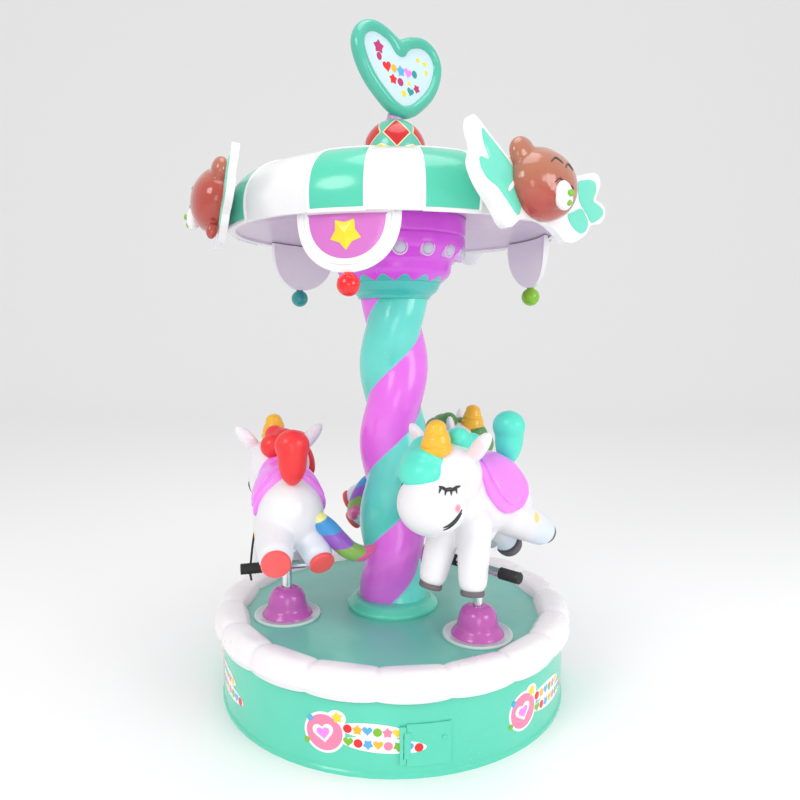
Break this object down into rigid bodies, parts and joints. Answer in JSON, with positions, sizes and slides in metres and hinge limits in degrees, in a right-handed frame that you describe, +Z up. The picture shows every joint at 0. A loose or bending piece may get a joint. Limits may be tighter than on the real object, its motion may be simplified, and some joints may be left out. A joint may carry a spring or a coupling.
{
  "type": "mini carousel",
  "caption": "Mini carousel with a drum base, a turning deck and canopy on a twisted column, and unicorn seats on rising lift rods.",
  "frame": {"origin": "on the turning axis, at the underside of the base plate, on the floor", "axes": "+Z up along the turning axis; -Y towards the service door, which is 10 degrees towards +X from it"},
  "size_m": [1.2777, 1.2324, 2.065],
  "materials": {
    "steel": "satin grey paint on steel",
    "chrome": "hard chrome, polished",
    "mint_shell": "glossy moulded shell",
    "cream_shell": "glossy moulded shell",
    "white_shell": "glossy moulded shell",
    "orchid_shell": "glossy moulded shell",
    "violet_shell": "glossy moulded shell",
    "lilac_shell": "satin moulded shell",
    "red_ball": "glossy moulded ball",
    "lime_ball": "glossy moulded ball",
    "teal_ball": "glossy moulded ball",
    "brown_shell": "glossy moulded shell",
    "ice_sheet": "printed sheet",
    "coral_shell": "satin moulded shell",
    "turquoise_shell": "satin moulded shell",
    "green_shell": "satin moulded shell",
    "rainbow_shell": "painted stripes on a moulded shell"
  },
  "bodies": {
    "base": {"base_plate": "steel", "base_skirt": "mint_shell", "drive_post": "steel", "door_hinge": "steel"},
    "door": {"service_door": "mint_shell"},
    "turntable": {"turntable_frame": "steel", "deck_floor": "mint_shell", "cloud_rim": "cream_shell", "column_foot": "mint_shell", "twisted_column": "orchid_shell", "column_neck": "mint_shell", "light_collar": "violet_shell", "canopy_dome": "white_shell", "canopy_ceiling": "lilac_shell", "scallop_1": "white_shell", "scallop_2": "white_shell", "scallop_3": "white_shell", "scallop_ball_1": "red_ball", "scallop_ball_2": "lime_ball", "scallop_ball_3": "teal_ball", "bow_plate_1": "white_shell", "bow_plate_2": "white_shell", "bow_plate_3": "white_shell", "bear_head_1": "brown_shell", "bear_head_2": "brown_shell", "bear_head_3": "brown_shell", "finial_ball": "red_ball", "finial_knob": "lilac_shell", "heart_frame": "mint_shell", "heart_face": "ice_sheet", "rod_housing_1": "violet_shell", "rod_housing_2": "violet_shell", "rod_housing_3": "violet_shell"},
    "unicorn_1": {"unicorn_body_1": "white_shell", "unicorn_mane_1": "coral_shell", "unicorn_saddle_1": "orchid_shell", "unicorn_backrest_1": "coral_shell", "unicorn_tail_1": "rainbow_shell", "lift_rod_1": "chrome"},
    "unicorn_2": {"unicorn_body_2": "white_shell", "unicorn_mane_2": "turquoise_shell", "unicorn_saddle_2": "orchid_shell", "unicorn_backrest_2": "turquoise_shell", "unicorn_tail_2": "rainbow_shell", "lift_rod_2": "chrome"},
    "unicorn_3": {"unicorn_body_3": "white_shell", "unicorn_mane_3": "green_shell", "unicorn_saddle_3": "orchid_shell", "unicorn_backrest_3": "green_shell", "unicorn_tail_3": "rainbow_shell", "lift_rod_3": "chrome"}
  },
  "joints": [
    {"name": "service_door_hinge", "type": "hinge", "parent": "base", "child": "door", "pos_m": [0.0335, -0.55278, 0.091], "axis": [0, 0, -1], "range_deg": [0, 100]},
    {"name": "turntable_spin", "type": "hinge", "parent": "base", "child": "turntable", "pos_m": [0, 0, 0.2], "axis": [0, 0, 1], "continuous": true},
    {"name": "unicorn_lift_1", "type": "slide", "parent": "turntable", "child": "unicorn_1", "axis": [0, 0, 1], "range_m": [-0.01, 0.05]},
    {"name": "unicorn_lift_2", "type": "slide", "parent": "turntable", "child": "unicorn_2", "axis": [0, 0, 1], "range_m": [-0.057, 0.003]},
    {"name": "unicorn_lift_3", "type": "slide", "parent": "turntable", "child": "unicorn_3", "axis": [0, 0, 1], "range_m": [-0.023, 0.037]}
  ]
}
